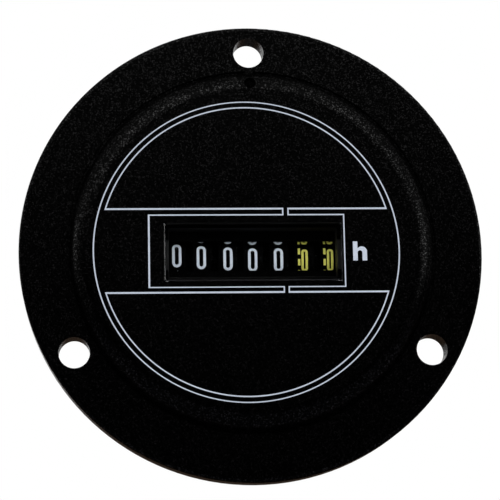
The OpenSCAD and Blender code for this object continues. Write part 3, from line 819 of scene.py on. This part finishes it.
@dataclass
class FacePrint:
    """Line print on the bezel's front face: an outer ring, an inner line and the unit sign."""

    body: str = "housing"
    face_y: float = -6.5
    centre: Pair = (-0.99, -0.56)
    ring_r: float = 23.53
    inner_r: float = 22.63
    ring_w: float = 0.19
    ring_swell: float = 0.015
    line_w: float = 0.27
    fine_w: float = 0.2
    low_w: float = 0.175
    rise: float = 0.02
    sink: float = 0.01
    upper_outer: float = 5.93
    upper_inner: float = 4.965
    lower_inner: float = -6.34
    lower_outer: float = -7.16
    box_left: float = -16.03
    box_right: float = 14.06
    gap_upper: Pair = (4.63, 5.45)
    gap_lower: Pair = (4.59, 5.35)
    ring_points: int = 288
    arc_points: int = 145
    stem_x: Pair = (15.36, 16.06)
    stem_z: Pair = (-2.3, 0.69)
    outer_arch: Pair = (16.72, -0.89)
    outer_arch_r: float = 0.8
    inner_arch: Pair = (16.43, -1.06)
    inner_arch_r: float = 0.37
    arch_end: float = 138.0
    arch_meets: float = -0.36

    def on_face(self, sheet: Sheet) -> Sheet:
        """Lays a sheet of (u, v, h) on the face: X = u, Y = face - h, Z = v."""
        u, v, h = sheet.points.T
        return Sheet(np.stack([u, self.face_y - h, v], 1), sheet.faces)

    def ring(self) -> Sheet:
        """Outer ring: a circle about the print's centre, of width ring_w + ring_swell cos 2a at the angle a.

        Returns:
            The ring on the face.
        """
        count = self.ring_points + 1
        path = arc(self.centre, (self.ring_r, self.ring_r), 0.0, 360.0, count)[:-1]
        angle = np.linspace(0.0, 2 * np.pi, count)[:-1]
        width = self.ring_w + self.ring_swell * np.cos(2 * angle)
        return self.on_face(ribbon(path, width, self.rise, self.sink, True))

    def arc_end(self, height: float) -> float:
        """Angle in degrees at which the inner circle crosses a height."""
        return math.degrees(math.asin((height - self.centre[1]) / self.inner_r))

    def inner_line(self) -> Sheet:
        """Inner line: one loop of two arcs of radius inner_r and the straight lines round the window.

        Returns:
            The line on the face.
        """
        up = self.arc_end(self.upper_outer)
        low = self.arc_end(self.lower_outer)
        radii = (self.inner_r, self.inner_r)
        left = [
            (self.gap_upper[0], self.upper_outer), (self.gap_upper[0], self.upper_inner),
            (self.box_left, self.upper_inner), (self.box_left, self.lower_inner),
            (self.gap_lower[0], self.lower_inner), (self.gap_lower[0], self.lower_outer),
        ]
        right = [
            (self.gap_lower[1], self.lower_outer), (self.gap_lower[1], self.lower_inner),
            (self.box_right, self.lower_inner), (self.box_right, self.upper_inner),
            (self.gap_upper[1], self.upper_inner), (self.gap_upper[1], self.upper_outer),
        ]
        curve = [self.fine_w] * (self.arc_points - 1) + [self.line_w]
        left_w = [self.fine_w, self.fine_w, self.line_w, self.low_w, self.fine_w, self.line_w]
        right_w = [self.fine_w, self.low_w, self.fine_w, self.fine_w, self.fine_w, self.line_w]
        path = np.concatenate([
            arc(self.centre, radii, up, 180.0 - up, self.arc_points), np.array(left),
            arc(self.centre, radii, 180.0 - low, 360.0 + low, self.arc_points), np.array(right),
        ])
        width = np.array(curve + left_w + curve + right_w)
        return self.on_face(ribbon(path, width, self.rise, self.sink, True))

    def unit_sign(self) -> Sheet:
        """Plain letter h for hours: a stem and an arch between two circles, as one outline.

        Returns:
            The sign on the face.
        """
        left, right = self.stem_x
        foot, top = self.stem_z
        outer, inner = self.outer_arch_r, self.inner_arch_r
        stem = [
            (right, self.arch_meets), (right, top), (left, top), (left, foot), (right, foot),
            (right, self.inner_arch[1]),
        ]
        leg = [(self.inner_arch[0] + inner, foot), (self.outer_arch[0] + outer, foot)]
        outline = np.concatenate([
            arc(self.outer_arch, (outer, outer), 0.0, self.arch_end, WIDE_BOW_POINTS), np.array(stem),
            arc(self.inner_arch, (inner, inner), 180.0, 0.0, BOW_POINTS)[1:], np.array(leg),
        ])
        return self.on_face(plate(outline, self.rise, self.sink))

    def build(self) -> None:
        """Makes the three printed pieces."""
        ink = FACE_INK.material()
        make_piece("print_ring", self.ring(), ink, self.body)
        make_piece("print_line", self.inner_line(), ink, self.body)
        make_piece("print_unit", self.unit_sign(), ink, self.body)


@dataclass(frozen=True)
class DigitStyle:
    """Size of the digits on one kind of wheel, in mm."""

    width: float
    height: float
    stroke: float
    corner: float

    @property
    def half(self) -> Pair:
        """Half width and half height of a digit's centre line."""
        return (self.width - self.stroke) / 2, (self.height - self.stroke) / 2


@dataclass
class DigitShapes:
    """Centre lines of the ten digits about their middle, in shares of the half width a and half height b."""

    style: DigitStyle
    looped: tuple[int, ...] = (0, 8)

    def corner(self, x: float, z: float, start: float, radius: float) -> Array:
        """Quarter circle about a point, from a start angle in degrees."""
        return arc((x, z), (radius, radius), start, start + 90.0, CORNER_POINTS)

    def loop(self, low: float, high: float) -> Array:
        """Rounded box between two heights: four corner arcs joined by straight sides.

        Args:
            low: height of its lower side.
            high: height of its upper side.

        Returns:
            The closed path.
        """
        a = self.style.half[0]
        r = min(self.style.corner, a, (high - low) / 2)
        return np.concatenate([
            self.corner(a - r, high - r, 0.0, r), self.corner(r - a, high - r, 90.0, r),
            self.corner(r - a, low + r, 180.0, r), self.corner(a - r, low + r, 270.0, r),
        ])

    def nine(self) -> Array:
        """Nine in one stroke: lower hook, right side, top, left side and the loop's lower side.

        Returns:
            The open path.
        """
        a, b = self.style.half
        r = min(self.style.corner, a)
        hook, waist = -0.55 * b, -0.12 * b
        return np.concatenate([
            np.array([(-a, hook)]), self.corner(r - a, r - b, 180.0, r), self.corner(a - r, r - b, 270.0, r),
            self.corner(a - r, b - r, 0.0, r), self.corner(r - a, b - r, 90.0, r),
            self.corner(r - a, waist + r, 180.0, r), np.array([(a - self.style.stroke / 2, waist)]),
        ])

    def two(self) -> Array:
        """Two in one stroke: a bow at the top, a slant and a foot.

        Returns:
            The open path.
        """
        a, b = self.style.half
        top = arc((0.0, b - a), (a, a), 165.0, -25.0, BOW_POINTS)
        return np.concatenate([top, np.array([(-a, -b), (a + self.style.stroke / 2, -b)])])

    def three(self) -> Array:
        """Three in one stroke: two half-height bows.

        Returns:
            The open path.
        """
        a, b = self.style.half
        top = arc((0.0, 0.5 * b), (a, 0.5 * b), 150.0, -58.0, BOW_POINTS)
        return np.concatenate([top, arc((0.0, -0.5 * b), (a, 0.5 * b), 58.0, -150.0, BOW_POINTS)])

    def five(self) -> Array:
        """Five in one stroke: a flag and a belly.

        Returns:
            The open path.
        """
        a, b = self.style.half
        flag = np.array([(a, b), (-0.85 * a, b), (-0.9 * a, 0.1 * b)])
        return np.concatenate([flag, arc((0.0, -0.38 * b), (a, 0.62 * b), 120.0, -150.0, WIDE_BOW_POINTS)])

    def strokes(self, digit: int) -> list[tuple[Array, bool]]:
        """Centre lines of one digit.

        Args:
            digit: 0 to 9.

        Returns:
            Pairs of a path and whether it is closed.
        """
        a, b = self.style.half
        end = b + self.style.stroke / 2
        side = a + self.style.stroke / 2
        stem, leg, bar, waist = 0.1 * a, 0.45 * a, -0.35 * b, 0.06 * b
        paths = (
            [self.loop(-b, b)],
            [np.array([(-0.7 * a, 0.62 * b), (stem, b), (stem, -end)])],
            [self.two()],
            [self.three()],
            [np.array([(leg, b), (-a, bar), (side, bar)]), np.array([(leg, -end), (leg, end)])],
            [self.five()],
            [-self.nine()],
            [np.array([(-side, b), (a, b), (-0.25 * a, -end)])],
            [self.loop(waist, b), self.loop(-b, waist)],
            [self.nine()],
        )
        return [(path, digit in self.looped) for path in paths[digit]]


@dataclass
class NumberPrint:
    """Digits printed round the rims of the seven number wheels, with tally marks on the last two.

    Each wheel's print strays by a sideways shift in mm and a turn in degrees.
    """

    first_x: float = -11.65
    pitch: float = 4.0
    axis: Pair = (5.15, -0.8)
    rim_r: float = 6.85
    rise: float = 0.015
    sink: float = 0.01
    step: float = 0.22
    count: int = 10
    second_lift: float = 0.2
    whole: DigitStyle = DigitStyle(width=1.45, height=3.7, stroke=0.42, corner=0.52)
    part: DigitStyle = DigitStyle(width=1.0, height=3.43, stroke=0.36, corner=0.22)
    strays: dict[Drum, Pair] = field(default_factory=lambda: {
        Drum.TEN_THOUSANDS: (0.02, 2.65), Drum.THOUSANDS: (-0.17, 0.1), Drum.HUNDREDS: (-0.02, -1.8),
        Drum.TENS: (-0.17, -3.4), Drum.UNITS: (-0.14, -3.4), Drum.TENTHS: (-0.05, -4.2),
        Drum.HUNDREDTHS: (-0.05, -4.0),
    })
    fraction: tuple[Drum, ...] = (Drum.TENTHS, Drum.HUNDREDTHS)
    marks: int = 25
    mark_points: int = 6
    mark_side: float = -0.86
    mark_w: float = 0.37
    mark_len: float = 1.0
    mark_shift: float = 7.5

    def on_rim(self, sheet: Sheet, drum: Drum, turn: float) -> Sheet:
        """Wraps a sheet of (u, v, h) round a rim: angle v / r + turn, radius r + h, X = middle + u.

        Args:
            sheet: flat sheet in mm.
            drum: wheel that carries it.
            turn: angle of the sheet's middle above the front, in degrees.

        Returns:
            The wrapped sheet.
        """
        u, v, h = sheet.points.T
        angle = v / self.rim_r + math.radians(turn)
        radius = self.rim_r + h
        x = self.first_x + self.pitch * drum.place + self.strays[drum][0] + u
        y = self.axis[0] - radius * np.cos(angle)
        z = self.axis[1] + radius * np.sin(angle)
        return Sheet(np.stack([x, y, z], 1), sheet.faces)

    def digits(self, drum: Drum) -> Sheet:
        """Digits round one rim at equal angles, each below the one before it.

        Args:
            drum: wheel that carries them.

        Returns:
            All the strokes as one sheet.
        """
        style = self.part if drum in self.fraction else self.whole
        shapes = DigitShapes(style)
        sheets = []
        for digit in range(self.count):
            for place, (path, closed) in enumerate(shapes.strokes(digit)):
                rise = self.rise * (1.0 + self.second_lift * place)
                line = ribbon(dense(path, self.step, closed), style.stroke, rise, self.sink, closed)
                sheets.append(self.on_rim(line, drum, self.strays[drum][1] - digit * 360.0 / self.count))
        return Sheet.joined(sheets)

    def tally(self, drum: Drum) -> Sheet:
        """Short upright marks at equal angles round one rim, left of the digits.

        Args:
            drum: wheel that carries them.

        Returns:
            All the marks as one sheet.
        """
        half = self.mark_len / 2
        path = np.linspace((self.mark_side, -half), (self.mark_side, half), self.mark_points)
        mark = ribbon(path, self.mark_w, self.rise, self.sink, False)
        turns = self.mark_shift + np.arange(self.marks) * 360.0 / self.marks
        return Sheet.joined([self.on_rim(mark, drum, turn) for turn in turns])

    def build(self) -> None:
        """Prints every wheel."""
        # The digit inks carry painted light against the shade inside the window
        white = DIGIT_WHITE_PAINTED_LIGHT.material()
        yellow = DIGIT_YELLOW_PAINTED_LIGHT.material()
        for drum in Drum:
            body = drum.value
            ink = yellow if drum in self.fraction else white
            make_piece(f"digits_{body}", self.digits(drum), ink, body)
            if drum in self.fraction:
                make_piece(f"tally_{body}", self.tally(drum), yellow, body)


@dataclass
class Housing:
    """Moulded outside: bezel, case and lens, and the terminals that come out of the case."""

    black: tuple[str, ...] = ("bezel",)
    rear: tuple[str, ...] = ("case",)
    clear: tuple[str, ...] = ("lens",)
    blades: tuple[str, ...] = ("terminal_left", "terminal_right")

    def build(self) -> None:
        """Dresses the outside nodes."""
        dress_all(
            (self.black, BEZEL_BLACK_PAINTED_GLINTS), (self.rear, CASE_BLACK), (self.clear, LENS_CLEAR_PAINTED_SHADE_WALLS),
            (self.blades, BLADE_BRASS),
        )


@dataclass
class Movement:
    """Everything inside: counter, gear train, stepping motor and electronics."""

    pinions: int = 6
    pins: tuple[str, ...] = (
        "wheel_shaft", "pinion_shaft", "drive_pin", "reduction_pin", "rotor_pin", "coil_pins"
    )
    screws: tuple[str, ...] = ("frame_screws", "board_screws", "motor_screws")
    gears: tuple[str, ...] = ("drive_gear", "reduction_gear", "rotor_hub")
    iron: tuple[str, ...] = ("stator", "coil_core")

    def build(self) -> None:
        """Dresses the inner nodes."""
        transfer = tuple(f"transfer_pinion_{n}" for n in range(1, self.pinions + 1))
        wheels = tuple(drum.value for drum in Drum)
        dress_all(
            (("counter_frame",), MASK_BLACK), (wheels, WHEEL_BLACK), (self.gears + transfer, GEAR_WHITE),
            (self.pins, PIN_STEEL), (self.screws, SCREW_STEEL), (("gear_clips",), CLIP_BRASS),
            (("rotor_magnet",), MAGNET_GREY), (self.iron, STATOR_IRON), (("coil_bobbin",), BOBBIN_GREY),
            (("coil_winding",), COIL_COPPER_PAINTED_SHADE), (("circuit_board",), BOARD_GREEN),
            (("quartz_crystal",), CAN_METAL), (("control_chip", "resistor"), CHIP_BLACK),
            (("capacitor",), SLEEVE_BLUE),
        )


@dataclass(frozen=True)
class Lamp:
    """A soft square light that faces the origin: place and size in mm, power in watts."""

    name: str
    place: Triple
    size: float
    power: float

    def build(self) -> None:
        """Makes the lamp and turns it to the origin."""
        data = bpy.data.lights.new(self.name, "AREA")
        data.shape = "SQUARE"
        data.size = self.size * MM
        data.energy = self.power
        lamp = bpy.data.objects.new(self.name, data)
        bpy.context.scene.collection.objects.link(lamp)
        lamp.location = Vector(self.place) * MM
        lamp.rotation_euler = (-Vector(self.place)).to_track_quat("-Z", "Y").to_euler()


@dataclass
class Studio:
    """Plain pale floor, soft lamps, white surroundings and the camera at the photograph's angle.

    A pair in the world's fields is where a change starts and ends, along Y or Z of a ray's direction.
    """

    floor_z: float = -120.0
    floor_inner: float = 1.0
    floor_outer: float = 1600.0
    floor_rings: int = 24
    floor_spokes: int = 72
    floor_colour: Colour = (0.8, 0.8, 0.8)
    floor_rough: float = 0.8
    fill: float = 0.7
    table_front: Colour = (0.24, 0.24, 0.27)
    table_rear: Colour = (0.1, 0.068, 0.048)
    table_split: Pair = (-0.1, 0.2)
    table_dip: Pair = (-0.4, -0.12)
    horizon: Pair = (0.0, 0.08)
    rear: Pair = (-0.05, 0.35)
    tent: float = 0.85
    tent_front: Pair = (-0.25, 0.0)
    tent_edge: Pair = (0.22, 0.46)
    lens_mm: float = 142.28
    camera_at: Triple = (-23.208, -302.433, -62.666)
    camera_forward: Triple = (0.07472, 0.97595, 0.20477)
    camera_up: Triple = (0.00477, -0.20569, 0.97860)
    sensor_mm: float = 36.0
    clip_m: Pair = (0.01, 20.0)
    lamps: tuple[Lamp, ...] = (
        Lamp("over_left", (-171.0, -708.0, 520.0), 420.0, 0.75),
        Lamp("over_right", (288.0, -668.0, 520.0), 420.0, 0.6),
        Lamp("side_left", (-800.0, -360.0, 180.0), 620.0, 0.34),
        Lamp("side_right", (700.0, -560.0, 190.0), 300.0, 0.6),
        Lamp("edge_right", (840.0, -300.0, 200.0), 300.0, 0.8),
        Lamp("edge_left", (-690.0, -60.0, 150.0), 200.0, 0.2),
    )

    def floor(self) -> None:
        """Makes the floor: a disc on a grid of radius and angle; reflections miss it."""
        radius, angle = np.meshgrid(
            np.linspace(self.floor_inner, self.floor_outer, self.floor_rings),
            np.linspace(0.0, 2 * np.pi, self.floor_spokes + 1)[:-1], indexing="ij",
        )
        level = np.full_like(radius, self.floor_z)
        sheet = grid_sheet(np.stack([radius * np.cos(angle), radius * np.sin(angle), level], 2), False)
        mesh = bpy.data.meshes.new("floor")
        # The last face, left out, would span the whole disc
        mesh.from_pydata((sheet.points * MM).tolist(), [], sheet.faces[:-1])
        material, tree, shader = new_material("floor_pale")
        shader.inputs["Base Color"].default_value = (*self.floor_colour, 1.0)
        shader.inputs["Roughness"].default_value = self.floor_rough
        let_through(tree, shader, tree.add("ShaderNodeLightPath").outputs["Is Glossy Ray"])
        mesh.materials.append(material)
        ground = bpy.data.objects.new("floor", mesh)
        bpy.context.scene.collection.objects.link(ground)

    def surroundings(self) -> None:
        """White world behind the object for sight, glass and gloss; soft fill for diffuse light.

        Glass and reflections see white only behind the object, so that the camera's side is dark.
        Reflections also see a pale tent over the front and, below the horizon, a dim table: warm behind,
        and cool in front where they look steeply down.
        """
        world = bpy.data.worlds.new("studio")
        bpy.context.scene.world = world
        world.use_nodes = True
        tree = Tree(world.node_tree)
        sky = world.node_tree.nodes["Background"]
        path = tree.add("ShaderNodeLightPath")
        place = tree.add("ShaderNodeTexCoord")
        axes = tree.add("ShaderNodeSeparateXYZ")
        tree.join(place.outputs["Generated"], axes.inputs["Vector"])
        behind = tree.mask(axes.outputs["Y"], *self.rear)
        front = tree.spread(axes.outputs["Y"], self.tent, 0.0, *self.tent_front)
        tent = tree.math("MULTIPLY", front, tree.mask(axes.outputs["Z"], *self.tent_edge))
        above = tree.mask(axes.outputs["Z"], *self.horizon)
        far = tree.mask(axes.outputs["Y"], *self.table_split)
        steep = tree.spread(axes.outputs["Z"], 1.0, 0.0, *self.table_dip)
        ground = tree.math("MULTIPLY", tree.math("SUBTRACT", 1.0, above), tree.math("MAXIMUM", far, steep))
        around = tree.math("MAXIMUM", tree.math("MAXIMUM", behind, tent), ground)
        gloss = tree.math("MULTIPLY", path.outputs["Is Glossy Ray"], around)
        glass = tree.math("MULTIPLY", path.outputs["Is Transmission Ray"], behind)
        diffuse = tree.math("MULTIPLY", path.outputs["Is Diffuse Ray"], self.fill)
        seen = tree.math("MAXIMUM", path.outputs["Is Camera Ray"], diffuse)
        tree.join(tree.math("MAXIMUM", tree.math("MAXIMUM", gloss, glass), seen), sky.inputs["Strength"])
        plain = tree.math("SUBTRACT", 1.0, path.outputs["Is Glossy Ray"])
        table = tree.blend(far, self.table_front, self.table_rear)
        white = tree.math("MAXIMUM", plain, above)
        tree.join(tree.blend(white, table, WHITE), sky.inputs["Color"])

    def camera(self) -> None:
        """Makes the camera from its place, forward and up directions."""
        data = bpy.data.cameras.new("camera")
        data.lens = self.lens_mm
        data.sensor_width = self.sensor_mm
        data.clip_start, data.clip_end = self.clip_m
        camera = bpy.data.objects.new("camera", data)
        bpy.context.scene.collection.objects.link(camera)
        forward = Vector(self.camera_forward).normalized()
        right = forward.cross(Vector(self.camera_up)).normalized()
        up = right.cross(forward)
        turn = Matrix((right, up, -forward)).transposed()
        camera.matrix_world = Matrix.Translation(Vector(self.camera_at) * MM) @ turn.to_4x4()
        bpy.context.scene.camera = camera

    def build(self) -> None:
        """Sets up the floor, the world, the lamps and the camera."""
        self.floor()
        self.surroundings()
        for lamp in self.lamps:
            lamp.build()
        self.camera()
        bpy.context.scene.view_settings.view_transform = "Standard"


def main() -> None:
    """Builds the studio and the sub-assemblies in order."""
    logging.basicConfig(level=logging.INFO, format="%(message)s")
    for assembly in (Studio(), Housing(), Movement(), FacePrint(), NumberPrint()):
        assembly.build()
        LOG.info("built %s", type(assembly).__name__)


if __name__ == "__main__":
    main()
